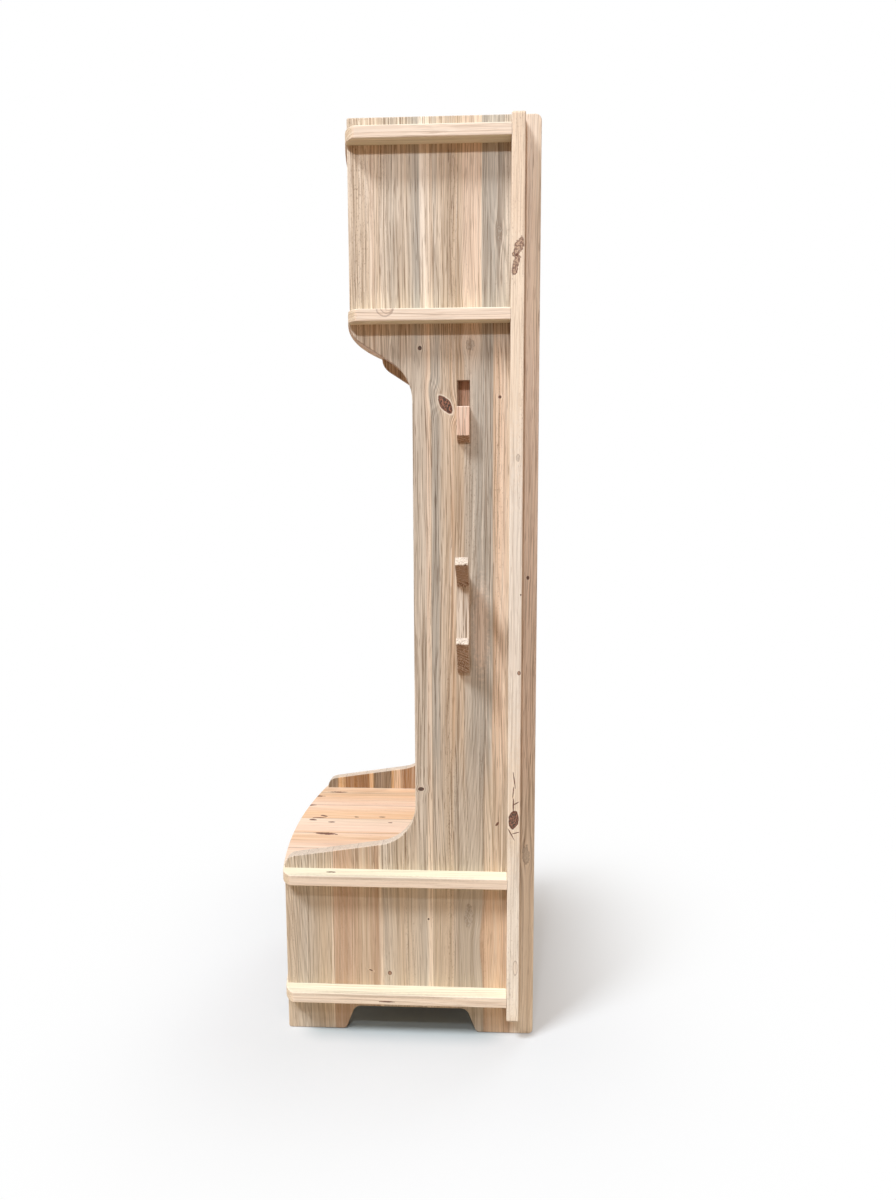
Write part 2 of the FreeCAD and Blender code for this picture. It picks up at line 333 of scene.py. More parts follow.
def makeGrainGroup(look):
    group, given, put = newGroup(
        "pine grain",
        {"Tone": (0.8, 0.7, 0.6, 1.0), "Place": noPlace, "Chance": evenChance, "Push": 0.0, "Lines": 1.0,
         "Ring Width": 0.007, "Slant": 0.05, "Wander": 0.03, "Flat": 0.2, "Stain": 0.2, "Warmth": 0.2,
         "Streak": 0.4, "Pale Line": 0.4, "Stroke": 0.4, "Late": 0.5, "Early": 0.4, "Pores": 0.3,
         "Speckle": 0.0, "Shading": 0.55},
        {"Colour": "colour", "Relief": "value", "Dryness": "value"})
    fibreInputs = ("Place", "Chance", "Push")
    ringInputs = fibreInputs + ("Ring Width", "Slant", "Wander", "Flat")
    fibres = place(group, fibreGroup, {label: given[label] for label in fibreInputs})
    rings = place(group, ringGroup, {label: given[label] for label in ringInputs})
    strength = span(group, channels(group, given["Chance"])[1], *look["staveLines"])
    strength = calc(group, "MULTIPLY", strength, given["Lines"])

    def lined(mask):
        return calc(group, "MULTIPLY", mask, strength)

    pores = calc(group, "MULTIPLY", fibres["Dots"], fibres["Patch"])
    layers = (
        ("Stain", lined(fibres["Stain"]), "greyStain", "MIX"),
        ("Warmth", fibres["Warmth"], "peach", "MIX"),
        ("Streak", lined(fibres["Streak"]), "lineShade", "MULTIPLY"),
        ("Pale Line", lined(fibres["Pale Line"]), "milk", "MIX"),
        ("Early", lined(rings["Early"]), "milk", "MIX"),
        ("Late", lined(rings["Late"]), "lineShade", "MULTIPLY"),
        ("Stroke", lined(fibres["Stroke"]), "lineShade", "MULTIPLY"),
        ("Pores", pores, "lineShade", "MULTIPLY"),
        ("Speckle", fibres["Dots"], "lineShade", "MULTIPLY"))
    colour = given["Tone"]
    for label, mask, over, style in layers:
        colour = layer(group, colour, mask, given[label], woodTones[over], style)
    hills = calc(group, "MULTIPLY_ADD", fibres["Fine"], look["fineHills"], fibres["Broad"])
    hills = calc(group, "SUBTRACT", hills, look["hillMiddle"])
    shade = calc(group, "MULTIPLY_ADD", hills, given["Shading"], 1.0)
    colour = blend(group, 1.0, colour, join(group, shade, shade, shade), "MULTIPLY")
    feed(group, put["Colour"], colour)
    dips = calc(group, "MULTIPLY", fibres["Streak"], look["streakDip"])
    proud = calc(group, "SUBTRACT", rings["Late"], dips)
    feed(group, put["Relief"], calc(group, "MULTIPLY_ADD", fibres["Fine"], look["fineRelief"], proud))
    dryness = calc(group, "MULTIPLY_ADD", fibres["Fine"], look["fineDryness"], fibres["Dots"])
    feed(group, put["Dryness"], dryness)
    return group


# One knot, pin knot, bark pocket or wash: the grain parts round it, and distances are shares of its half size

knotLook = {
    "core": (0.9, 1.02), "rim": (0.78, 0.93, 0.97, 1.1), "halo": (1.0, 1.1, 1.14, 1.34), "wash": (0.4, 1.15),
    "jitter": 2.0, "fade": -0.3, "whorls": 11.0, "whorlJitter": 24.0, "whorlShare": 0.1, "heart": (0.4, 0.58),
}


def makeKnotGroup(look):
    group, given, put = newGroup(
        "knot",
        {"Point": noPlace, "Centre": noPlace, "Half Size": (0.01, 0.01, 0.01), "Turn": noPlace,
         "Roundness": 2.0, "Aside": 0.0, "Parting": 0.7, "Rough": 0.5, "Fleck": 0.5, "Ragged": 0.3},
        {label: "value" for label in ("Core", "Rim", "Halo", "Wash", "Push", "Heart")})
    turned = group.nodes.new("ShaderNodeVectorRotate")
    turned.rotation_type = "EULER_XYZ"
    feed(group, turned.inputs["Vector"], vectorCalc(group, "SUBTRACT", given["Point"], given["Centre"]))
    feed(group, turned.inputs["Rotation"], given["Turn"])
    spot = vectorCalc(group, "DIVIDE", turned.outputs[0], given["Half Size"])
    sides = split(group, vectorCalc(group, "ABSOLUTE", spot))
    powers = [calc(group, "POWER", side, given["Roundness"]) for side in sides]
    total = calc(group, "ADD", calc(group, "ADD", powers[0], powers[1]), powers[2])
    reach = calc(group, "POWER", total, calc(group, "DIVIDE", 1.0, given["Roundness"]))
    jitter = centred(group, given["Rough"])
    ragged = calc(group, "MULTIPLY", given["Ragged"], look["jitter"])
    edge = calc(group, "MULTIPLY_ADD", jitter, ragged, reach)
    for label in ("Core", "Wash"):
        feed(group, put[label], invert(group, ease(group, edge, *look[label.lower()])))
    for label in ("Rim", "Halo"):
        feed(group, put[label], between(group, edge, *look[label.lower()]))
    fade = calc(group, "MULTIPLY", calc(group, "MULTIPLY", reach, reach), look["fade"])
    parting = calc(group, "MULTIPLY", given["Parting"], calc(group, "MULTIPLY", given["Aside"], -1.0))
    feed(group, put["Push"], calc(group, "MULTIPLY", calc(group, "EXPONENT", fade), parting))
    uneven = calc(group, "MULTIPLY", jitter, look["whorlJitter"])
    whorl = calc(group, "SINE", calc(group, "MULTIPLY_ADD", reach, look["whorls"], uneven))
    flecks = calc(group, "MULTIPLY_ADD", whorl, look["whorlShare"], given["Fleck"])
    feed(group, put["Heart"], ease(group, flecks, *look["heart"]))
    return group


# Which way a face looks: edge, end, underside or eased arris, by the parts of its normal; the underside mask
# carries painted shade

faceLook = {
    "edge": (0.62, 0.86), "end": (0.45, 0.85), "under": (-0.12, -0.4), "arrisWearAndHighlight": (0.06, 0.3, 0.86, 0.985),
}


def makeFaceGroup(look):
    group, given, put = newGroup(
        "board faces",
        {"Facing": (0.0, 0.0, 1.0)},
        {label: "value" for label in ("Edge", "End", "Under", "Arris")})
    across, through, along = split(group, vectorCalc(group, "ABSOLUTE", given["Facing"]))
    feed(group, put["Edge"], ease(group, across, *look["edge"]))
    feed(group, put["End"], ease(group, along, *look["end"]))
    feed(group, put["Under"], ease(group, split(group, given["Facing"])[2], *look["under"]))
    feed(group, put["Arris"], between(group, through, *look["arrisWearAndHighlight"]))
    return group


staveGroup = makeStaveGroup()
ringGroup = makeRingGroup(ringLook)
fibreGroup = makeFibreGroup(fibreLook)
grainGroup = makeGrainGroup(grainLook)  # holds the rings and the fibres
knotGroup = makeKnotGroup(knotLook)
faceGroup = makeFaceGroup(faceLook)
print("wood groups ready:", len(bpy.data.node_groups))


# Kinds of knot: parting is how far the grain opens round it, and all but roundness are shares

knotKinds = {
    "leaf": {"tone": "knotRed", "heart": "bark", "fill": 0.95, "line": 0.9, "halo": 0.55, "parting": 0.8,
             "round": 1.6, "ragged": 0.12},
    "round": {"tone": "knotRed", "heart": "bark", "fill": 0.92, "line": 0.9, "halo": 0.35, "parting": 0.85,
              "round": 2.0, "ragged": 0.2},
    "arch": {"tone": "apricot", "heart": "peach", "fill": 0.2, "line": 0.38, "halo": 0.0, "parting": 0.4,
             "round": 2.0, "ragged": 0.12},
    "pin": {"tone": "knotDeep", "heart": "bark", "fill": 0.9, "line": 0.8, "halo": 0.2, "parting": 0.8,
            "round": 2.0, "ragged": 0.2},
    "eye": {"tone": "knotTan", "heart": "knotDeep", "fill": 0.85, "line": 0.85, "halo": 0.3, "parting": 0.8,
            "round": 2.0, "ragged": 0.2},
    "swirl": {"tone": "slate", "heart": "shadeBrown", "fill": 0.45, "line": 0.15, "halo": 0.0, "parting": 0.9,
              "round": 2.0, "ragged": 0.6},
    "scar": {"tone": "clay", "heart": "knotDeep", "fill": 0.85, "line": 0.5, "halo": 0.15, "parting": 0.5,
             "round": 1.7, "ragged": 0.6},
    "slit": {"tone": "knotDeep", "heart": "knotDeep", "fill": 0.95, "line": 0.5, "halo": 0.0, "parting": 0.3,
             "round": 1.5, "ragged": 0.45},
    "crack": {"tone": "knotDeep", "heart": "knotDeep", "fill": 0.9, "line": 0.2, "halo": 0.0, "parting": 0.2,
              "round": 1.8, "ragged": 0.5},
}

# soft washes of another tone under the grain
washKinds = {
    "shade": {"tone": "ash", "fill": 0.5, "parting": 0.0, "round": 3.0, "ragged": 0.3},
    # a lighter patch: partly paler wood, partly painted light that lifts a cast shadow
    "glow": {"tone": "blush", "fill": 0.8, "parting": 0.0, "round": 2.4, "ragged": 0.4},
    "flame": {"tone": "apricot", "fill": 0.5, "parting": 0.7, "round": 2.0, "ragged": 0.4},
    "pale": {"tone": "chalk", "fill": 0.8, "parting": 0.0, "round": 3.0, "ragged": 0.3},
    "warm": {"tone": "apricot", "fill": 0.35, "parting": 0.0, "round": 3.0, "ragged": 0.4},
}

knotNoise = {"rough": (150.0, 150.0, 150.0), "fleck": (330.0, 330.0, 200.0)}


def mm(*lengths):
    return tuple(length / 1000 for length in lengths)


# a knot in a look is its kind, centre and half size in mm, then its turn in degrees and the axis of that turn
def addKnots(tree, point, look):
    knots = []
    washes = []
    push = 0.0
    sideways = "xyz".index(look["axes"][0])
    across = split(tree, point)[sideways]
    rough = noise(tree, point, knotNoise["rough"])["Fac"]
    fleck = noise(tree, point, knotNoise["fleck"])["Fac"]
    for kind, centre, halfSize, *turn in look["knots"]:
        knot = knotKinds.get(kind) or washKinds[kind]
        middle = mm(*centre)
        degrees = turn[0] if turn else 0
        turnAxis = turn[1] if len(turn) > 1 else look["turnAxis"]
        turns = [math.radians(degrees) if axis == turnAxis else 0.0 for axis in "xyz"]
        spot = place(tree, knotGroup, {
            "Point": point, "Centre": middle, "Half Size": mm(*halfSize), "Turn": turns, "Rough": rough,
            "Fleck": fleck, "Aside": calc(tree, "SUBTRACT", across, middle[sideways]),
            "Roundness": knot["round"], "Ragged": knot["ragged"], "Parting": knot["parting"]})
        push = calc(tree, "ADD", push, spot["Push"])
        (knots if kind in knotKinds else washes).append((knot, spot))
    return knots, washes, push


def paintKnots(tree, colour, knots):
    for knot, spot in knots:
        heart = blend(tree, spot["Heart"], woodTones[knot["tone"]], woodTones[knot["heart"]])
        colour = layer(tree, colour, spot["Halo"], knot["halo"], woodTones["milk"])
        colour = layer(tree, colour, spot["Core"], knot["fill"], heart)
        colour = layer(tree, colour, spot["Rim"], knot["line"], woodTones["knotDeep"])
    return colour


# Board finish: the look holds the grain direction, the stripes of the staves and the knots

finishLook = {"rough": (0.56, 0.68), "specular": 0.3, "bump": (0.35, 0.0006)}
stripeLook = {"wobble": (30.0, 30.0, 2.5), "sway": 0.008, "climb": 0.3, "change": (0.05, 0.25)}


def axisOrder(tree, vector, axes):
    parts = dict(zip("xyz", split(tree, vector)))
    return join(tree, *(parts[axis] for axis in axes))


def stripeRamp(tree, position, stripes):
    node = tree.nodes.new("ShaderNodeValToRGB")
    bands = node.color_ramp.elements
    for element, (share, label) in zip((bands[0], bands[1]), (stripes[0], stripes[-1])):
        element.position = share
        element.color = woodTones[label]
    for share, label in stripes[1:-1]:
        bands.new(share).color = woodTones[label]
    feed(tree, node.inputs[0], position)
    return node.outputs[0]


# one set of stripes across the board for each height, with an uneven change from one to the next
def stripeTones(tree, board, push, look):
    across, along = split(tree, board)[::2]
    low, high = look["span"]
    start, end = mm(low, high)
    wobble = noise(tree, board, stripeLook["wobble"])["Fac"]
    sway = calc(tree, "MULTIPLY_ADD", centred(tree, wobble), stripeLook["sway"], push)
    offset = calc(tree, "SUBTRACT", calc(tree, "ADD", across, sway), start)
    position = calc(tree, "DIVIDE", offset, end - start)
    level = calc(tree, "MULTIPLY_ADD", wobble, stripeLook["climb"], along)
    colour = None
    for height, stripes in look["stripes"].items():
        shares = [((at - low) / (high - low), label) for at, label in stripes]
        bands = stripeRamp(tree, position, shares)
        if colour is None:
            colour = bands
        else:
            change = [height + step for step in stripeLook["change"]]
            colour = blend(tree, ease(tree, level, *change), colour, bands)
    return colour


def lowDown(tree, board, reach):
    return invert(tree, ease(tree, split(tree, board)[2], *reach))


# other, darker stripes and fainter lines on the inner face, low down: partly the wood's own stripes, partly
# painted shade inside the coat bay
def innerTonesAndShade(tree, board, push, colour, look):
    inner = look["inner"]
    inside = ease(tree, split(tree, board)[1], *mm(*inner["through"]))
    inside = calc(tree, "MULTIPLY", inside, lowDown(tree, board, inner["below"]))
    stripes = stripeTones(tree, board, push, dict(look, stripes=inner["stripes"]))
    return blend(tree, inside, colour, stripes), span(tree, inside, 1.0, inner["lines"])


# share of dark specks in one strip of a board, high up
def speckleShare(tree, board, patch):
    across, along = split(tree, board)[::2]
    low, high, edge = mm(*patch["across"], patch["edge"])
    strip = between(tree, across, low, low + edge, high - edge, high)
    above = ease(tree, along, *patch["above"])
    return calc(tree, "MULTIPLY", calc(tree, "MULTIPLY", strip, above), patch["share"])


def boardFinish(name, look):
    material, tree, shader = newMaterial(name)
    point = tree.nodes.new("ShaderNodeTexCoord").outputs["Object"]
    facing = tree.nodes.new("ShaderNodeNewGeometry").outputs["Normal"]
    board = axisOrder(tree, point, look["axes"])
    faces = place(tree, faceGroup, {"Facing": axisOrder(tree, facing, look["axes"])})
    knots, washes, push = addKnots(tree, point, look)
    staveWidth, firstSeam = mm(look["staveWidth"], look["firstSeam"])
    staves = place(tree, staveGroup, {
        "Board": board, "Stave Width": staveWidth, "First Seam": firstSeam, "Seed": look["seed"]})

    # broad tone of faces, edges and ends, with faces that look down painted darker as painted shade, then the
    # grain over all of them
    colour = stripeTones(tree, board, push, look)
    lines = 1.0
    if "inner" in look:
        colour, lines = innerTonesAndShade(tree, board, push, colour, look)
    for side in ("edge", "end", "under"):
        turned = faces[side.title()]
        colour = layer(tree, colour, turned, look[side + "Share"], woodTones[look[side + "Tone"]])
        lines = calc(tree, "MULTIPLY", lines, span(tree, turned, 1.0, look[side + "Lines"]))
    if "calm" in look:  # fainter lines low down
        low = lowDown(tree, board, look["calm"]["below"])
        lines = calc(tree, "MULTIPLY", lines, span(tree, low, 1.0, look["calm"]["lines"]))
    for wash, spot in washes:
        colour = layer(tree, colour, spot["Wash"], wash["fill"], woodTones[wash["tone"]])
    settings = {"Tone": colour, "Place": staves["Place"], "Chance": staves["Chance"], "Push": push,
                "Lines": lines, **look["grain"]}
    if "speckle" in look:
        settings["Speckle"] = speckleShare(tree, board, look["speckle"])
    grain = place(tree, grainGroup, settings)
    colour = layer(tree, grain["Colour"], staves["Seam"], look["seam"], woodTones["lineShade"], "MULTIPLY")
    colour = paintKnots(tree, colour, knots)
    # eased arrises are painted paler: pale wear with a painted highlight
    colour = layer(tree, colour, faces["Arris"], look["arrisWearAndHighlight"], woodTones["milk"])
    feed(tree, shader.inputs["Base Color"], colour)
    feed(tree, shader.inputs["Roughness"], span(tree, grain["Dryness"], *finishLook["rough"]))
    shader.inputs["Specular IOR Level"].default_value = finishLook["specular"]

    height = calc(tree, "SUBTRACT", grain["Relief"], staves["Seam"])
    for knot, spot in knots:
        height = calc(tree, "SUBTRACT", height, spot["Rim"])
    addBump(tree, shader, height, *finishLook["bump"])
    return material


def dress(material, *names):
    for name in names:
        for slot in boards[name].material_slots:
            slot.material = material


# Sides: grain upright, ten staves side by side from the back edge forwards. Each set of stripes stands at the
# height in metres near which it starts, and each stripe at its place in mm

sideBase = {
    "axes": "yxz", "turnAxis": "x", "staveWidth": 57.5, "firstSeam": 300.5, "span": (-270, 298),
    "seam": 0.4, "arrisWearAndHighlight": 0.12, "edgeTone": "oat", "edgeShare": 0.3, "edgeLines": 0.8,
    "endTone": "endGrey", "endShare": 0.8, "endLines": 0.4,
    # faces that look down are painted darker in this tone: painted shade
    "underTone": "rust", "underShare": 0.5, "underLines": 1.0,
    "grain": {"Ring Width": 0.0045, "Slant": 0.2, "Wander": 0.03, "Flat": 0.0, "Stain": 0.25, "Warmth": 0.2,
              "Streak": 0.7, "Pale Line": 0.45, "Stroke": 0.6, "Late": 0.4, "Early": 0.18, "Pores": 0.4,
              "Shading": 0.42},
}

rightSide = dict(
    sideBase, seed=3.0, calm={"below": (0.33, 0.42), "lines": 0.5},
    speckle={"across": (-110, -54), "edge": 4, "above": (1.62, 1.68), "share": 0.3},
    # the stripes from 262 to 298 mm lie on the strip behind the rail, in its shadow; their near white is
    # partly the wood's pale tone, partly painted light lifting that shadow
    stripes={
        0.0: [(-270, "stone"), (-225, "silver"), (-185, "stone"), (-165, "stone"), (-163, "cream"),
              (-160, "cream"), (-159, "clay"), (-120, "clay"), (-90, "sand"), (-55, "clay"), (-50, "cream"),
              (-44, "cream"), (-43, "silver"), (0, "stone"), (55, "silver"), (62, "cream"), (70, "cream"),
              (71, "stone"), (115, "stone"), (118, "ash"), (165, "ash"), (172, "silver"), (184, "ash"),
              (185, "clay"), (200, "apricot"), (215, "apricot"), (237, "clay"), (262, "milk"),
              (298, "ivory")],
        0.36: [(-270, "stone"), (-225, "silver"), (-165, "stone"), (-159, "clay"), (-120, "clay"),
               (-90, "sand"), (-55, "clay"), (-50, "cream"), (-43, "silver"), (0, "stone"), (55, "silver"),
               (62, "cream"), (70, "cream"), (71, "silver"), (115, "stone"), (118, "ash"), (165, "silver"),
               (184, "ash"), (185, "oat"), (200, "stone"), (215, "sand"), (237, "ash"), (262, "milk"),
               (298, "ivory")],
        0.62: [(30, "silver"), (58, "silver"), (62, "peach"), (70, "cream"), (71, "slate"), (85, "slate"),
               (95, "oat"), (112, "sand"), (116, "apricot"), (122, "sand"), (140, "sand"), (144, "silver"),
               (170, "slate"), (201, "slate"), (203, "apricot"), (225, "peach"), (237, "oat"), (262, "blush"),
               (298, "blush")],
        1.56: [(-100, "oat"), (-55, "oat"), (-48, "peach"), (-44, "cream"), (-36, "oat"), (-10, "silver"),
               (20, "oat"), (40, "slate"), (48, "slate"), (51, "milk"), (76, "cream"), (78, "silver"),
               (90, "oat"), (110, "sand"), (136, "sand"), (138, "peach"), (174, "peach"), (177, "cream"),
               (178, "slate"), (215, "slate"), (234, "silver"), (262, "blush"), (298, "cream")],
    },
    knots=[
        ("leaf", (284, 101.5, 1426), (70, 11, 22), -37),
        ("pin", (284, 48, 1542.5), (70, 4, 4.5)),
        ("pin", (284, 216, 1441), (70, 3.2, 3.2)),
        ("pin", (284, 44, 583), (70, 7, 4.5)),
        ("pin", (284, 59, 275), (70, 2.4, 2.4)),
        ("eye", (284, -31, 141), (70, 4.6, 5.2)),
        ("pin", (284, -75, 147), (70, 4.5, 1.4), 20),
        ("swirl", (284, 151, 285), (70, 9, 26)),
        ("flame", (284, 193, 228), (70, 16, 50)),
        ("swirl", (284, 213, 1770), (70, 6, 16)),
        ("swirl", (284, 153, 1548), (70, 9, 12)),
        ("crack", (284, 214, 504), (70, 2.6, 6), 30),
        ("swirl", (284, 279, 433), (70, 8, 22)),
        ("pin", (284, 278, 1059), (70, 3, 4)),
        # partly paler, oranger wood, partly painted light where the outer hook's shadow falls
        ("glow", (284, 178, 950), (70, 20, 120)),
    ])

leftSide = dict(
    sideBase, seed=11.0,
    stripes={
        0.0: [(-270, "stone"), (-212, "silver"), (-210, "clay"), (-155, "sand"), (-153, "oat"),
              (-97, "stone"), (-95, "ash"), (-40, "silver"), (-38, "sand"), (18, "apricot"), (20, "peach"),
              (76, "oat"), (78, "stone"), (133, "silver"), (135, "clay"), (191, "sand"), (193, "slate"),
              (250, "silver"), (298, "sand")],
        0.62: [(30, "sand"), (70, "oat"), (71, "silver"), (120, "slate"), (150, "oat"), (184, "sand"),
               (185, "peach"), (240, "oat"), (298, "sand")],
        1.56: [(-100, "oat"), (-44, "silver"), (-42, "sand"), (30, "oat"), (70, "cream"), (71, "stone"),
               (130, "silver"), (184, "oat"), (185, "peach"), (250, "sand"), (298, "oat")],
    },
    # the inner face low down: the wood's own stripes, darkened as painted shade inside the coat bay
    inner={"through": (-272, -268), "below": (0.62, 0.7), "lines": 0.5, "stripes": {
        0.0: [(-270, "smoke"), (-243, "smoke"), (-240, "honey"), (-222, "honey"), (-218, "bronze"),
              (-152, "bronze"), (-149, "honey"), (-141, "honey"), (-138, "smoke"), (-90, "smoke"),
              (-86, "honey"), (-62, "apricot"), (-56, "bronze"), (20, "bronze"), (70, "clay"), (130, "sand"),
              (298, "sand")],
    }},
    knots=[
        ("round", (-284, 130, 1180), (70, 9, 14), -20),
        ("pin", (-284, 60, 820), (70, 4, 4.5)),
        ("eye", (-284, -120, 230), (70, 11, 15)),
        ("pin", (-284, 190, 600), (70, 3, 3.5)),
        ("swirl", (-284, 20, 1780), (70, 8, 19)),
    ])

dress(boardFinish("right side pine", rightSide), "side_panel_right")
dress(boardFinish("left side pine", leftSide), "side_panel_left")
print("sides dressed")


# Back: grain upright, its long edges stand out beside the column as pale rails

backBoard = dict(
    sideBase, axes="xyz", turnAxis="y", staveWidth=110.0, firstSeam=330, span=(-324, 324), seed=7.0,
    arrisWearAndHighlight=0.3, edgeTone="ivory", edgeShare=1.0, edgeLines=0.45, endShare=0.5,
    grain=dict(sideBase["grain"], Flat=0.2),
    stripes={
        0.0: [(-324, "cream"), (-221, "peach"), (-220, "oat"), (-150, "sand"), (-111, "silver"),
              (-110, "sand"), (-60, "stone"), (-1, "oat"), (0, "silver"), (60, "slate"), (109, "silver"),
              (110, "peach"), (170, "apricot"), (219, "sand"), (220, "cream"), (270, "oat"), (324, "cream")],
    },
    knots=[
        ("warm", (324, 251, 1890), (40, 40, 190)),
        ("pale", (324, 251, 1000), (40, 40, 420)),
        ("pale", (324, 251, 250), (40, 40, 260)),
        ("scar", (324, 252, 1732), (40, 9.5, 22), 20, "x"),
        ("scar", (324, 247, 1700), (40, 6.5, 26), 12, "x"),
        ("eye", (324, 259.5, 858), (30, 3.6, 4.5)),
        ("pin", (324, 262, 1027), (20, 1.8, 2)),
        ("round", (324, 250, 530), (40, 11, 20), 8, "x"),
        ("crack", (324, 249.5, 564), (25, 1.5, 20)),
        ("crack", (324, 249, 592), (25, 1.3, 18), 6, "x"),
        ("crack", (324, 251, 620), (25, 1.2, 20), -8, "x"),
        ("crack", (324, 256, 568), (25, 1.2, 9), 58, "x"),
        ("crack", (324, 245, 497), (25, 1.2, 18), -28, "x"),
        ("crack", (324, 254, 500), (25, 1.1, 9), 75, "x"),
        ("arch", (324, 256, 184), (30, 5, 18)),
        ("swirl", (324, 254, 1313), (30, 4.5, 8)),
        ("round", (-90, 251, 1240), (13, 60, 17)),
        ("pin", (130, 251, 900), (4.5, 60, 5)),
        ("eye", (-200, 251, 700), (9, 60, 14)),
        ("pin", (40, 251, 1620), (5, 60, 6)),
        ("round", (230, 251, 1400), (12, 60, 15)),
        ("swirl", (-30, 251, 300), (8, 60, 22)),
    ])

dress(boardFinish("back pine", backBoard), "back_panel")
print("back dressed")


# Shelves: grain from front to back, the ears show their long grain

shelfBase = {
    "axes": "xzy", "turnAxis": "z", "staveWidth": 96.0, "firstSeam": 77, "span": (-326, 326),
    "seam": 0.5, "arrisWearAndHighlight": 0.3, "edgeTone": "blush", "edgeShare": 0.9, "edgeLines": 1.1,
    "endTone": "sand", "endShare": 0.7, "endLines": 0.8,
    # shelf undersides are painted darker in this tone: painted shade
    "underTone": "honey", "underShare": 0.3, "underLines": 1.0,
    # the pale butter at both ends lies on the ears: their pale wood with a painted highlight where the tops
    # catch the light from above
    "stripes": {
        0.0: [(-326, "butterHighlight"), (-290, "butterHighlight"), (-250, "cream"), (-116, "peach"), (-114, "cream"),
              (-20, "peach"), (-18, "cream"), (76, "peach"), (78, "cream"), (170, "peach"), (250, "cream"),
              (290, "butterHighlight"), (326, "butterHighlight")],
    },
    "grain": {"Ring Width": 0.0066, "Slant": 0.15, "Wander": 0.03, "Stain": 0.05, "Warmth": 0.15,
              "Streak": 0.25, "Pale Line": 0.4, "Stroke": 0.15, "Late": 0.35, "Early": 0.35, "Pores": 0.15,
              "Shading": 0.4},
}

topShelf = dict(shelfBase, seed=21.0, knots=[
    ("eye", (-120, 40, 1958), (9, 14, 40)),
    ("pin", (150, -60, 1958), (5, 6, 40)),
])
hatShelf = dict(shelfBase, seed=24.0, knots=[
    ("arch", (324, -20, 1617), (40, 18, 17)),
    ("arch", (324, -16, 1617), (40, 13, 11)),
    ("arch", (324, -12, 1617), (40, 8, 5)),
    ("round", (60, 30, 1604), (8, 13, 40)),
])
bottomShelf = dict(shelfBase, seed=27.0, knots=[
    ("shade", (324, -60, 108), (12, 250, 6)),
    ("slit", (324, -35, 94), (8, 19, 1.6)),
    ("eye", (80, -60, 98), (10, 15, 40)),
    ("pin", (-170, 60, 98), (4, 6, 40)),
])
seatBoard = dict(
    shelfBase, seed=33.0, seam=1.0,
    grain={**shelfBase["grain"], "Stain": 0.0, "Warmth": 0.0, "Streak": 0.2, "Pale Line": 0.25, "Late": 0.18,
           "Early": 0.12, "Shading": 0.25},
    # the pale butter at both ends is the ears' pale wood with a painted highlight on their tops
    stripes={
        0.0: [(-326, "butterHighlight"), (-262, "peach"), (-235, "coral"), (-210, "apricot"), (-190, "coral"),
              (-120, "rose"), (-60, "coral"), (-20, "coral"), (-18, "peach"), (60, "rose"), (76, "coral"),
              (78, "rose"), (100, "coral"), (160, "rose"), (250, "peach"), (290, "butterHighlight"), (326, "butterHighlight")],
    },
    knots=[
        ("shade", (324, -60, 389), (12, 250, 6)),
        ("slit", (-218, -234, 392), (4.2, 26, 12)),
        ("slit", (-183, -283, 392), (4.6, 17, 12)),
        ("slit", (-113, -289, 392), (5, 13, 12)),
        ("slit", (-8, -264, 392), (5.4, 11, 12), 14),
        ("crack", (-36, -240, 392), (4.4, 11, 12), 24),
        ("crack", (-22, -250, 392), (3.4, 20, 12), -4),
        ("slit", (83, -212, 392), (7, 31, 12), 5),
        ("slit", (6, -212, 392), (3.8, 10, 12)),
        ("crack", (-31, -153, 392), (3, 7, 12), 12),
        ("crack", (-34, -86, 392), (2.8, 9, 12)),
        ("crack", (4, -60, 392), (3, 6, 12)),
        ("crack", (303, -160, 392), (3, 14, 8)),
    ])

dress(boardFinish("top shelf pine", topShelf), "top_shelf")
dress(boardFinish("hat shelf pine", hatShelf), "hat_shelf")
dress(boardFinish("bottom shelf pine", bottomShelf), "bottom_shelf")
dress(boardFinish("seat pine", seatBoard), "seat_board")
print("shelves and seat dressed")


# Hooks: each cut from one wide board, grain upright, the inner ones pink at the lips, the outer ones pale

hookBase = {
    "axes": "xyz", "turnAxis": "y", "staveWidth": 4000.0, "firstSeam": -2000, "span": (-402, 402),
    "seam": 0.0, "arrisWearAndHighlight": 0.3, "edgeTone": "rose", "edgeShare": 0.3, "edgeLines": 1.0,
    "endTone": "pearl", "endShare": 0.7, "endLines": 0.6, "knots": [],
    # hook undersides are painted darker in this tone: painted shade
    "underTone": "rust", "underShare": 0.85, "underLines": 1.0,
    "grain": {"Ring Width": 0.006, "Slant": 0.25, "Wander": 0.03, "Stain": 0.05, "Warmth": 0.15,
              "Streak": 0.8, "Pale Line": 0.5, "Stroke": 1.0, "Late": 0.9, "Early": 0.4, "Pores": 0.7},
}
innerHook = dict(hookBase, seeds={"right": 40.0, "left": 41.0}, stripes={
    # the dark brown stripes, where the hook sits in the side, are painted shade of the mortise
    0.0: [(-402, "pink"), (-286, "pink"), (-276, "mortiseShade"), (-240, "mortiseShade"), (-215, "sand"), (0, "peach"),
          (215, "sand"), (240, "mortiseShade"), (276, "mortiseShade"), (286, "pink"), (402, "pink")],
})
outerHook = dict(hookBase, seeds={"right": 42.0, "left": 43.0}, edgeTone="cream", stripes={
    0.0: [(-402, "pearl"), (-300, "pearl"), (-270, "sand"), (0, "sand"), (270, "sand"), (300, "pearl"),
          (402, "pearl")],
})

for kind, look in {"inner": innerHook, "outer": outerHook}.items():
    for side, seed in look["seeds"].items():
        finish = boardFinish(f"{kind} {side} hook pine", dict(look, seed=seed))
        dress(finish, f"{kind}_hook_{side}")
print("hooks dressed")


# Screws: zinc plated steel, patchy and finely scratched

screwZinc = {
    "bright": tone(196, 196, 190), "dull": tone(128, 126, 120), "dulling": (0.4, 0.7), "rough": (0.34, 0.59),
    "patches": ((420.0, 420.0, 420.0), 3.0), "scratches": (2400.0, 300.0, 2400.0), "bump": (0.2, 0.0002),
}


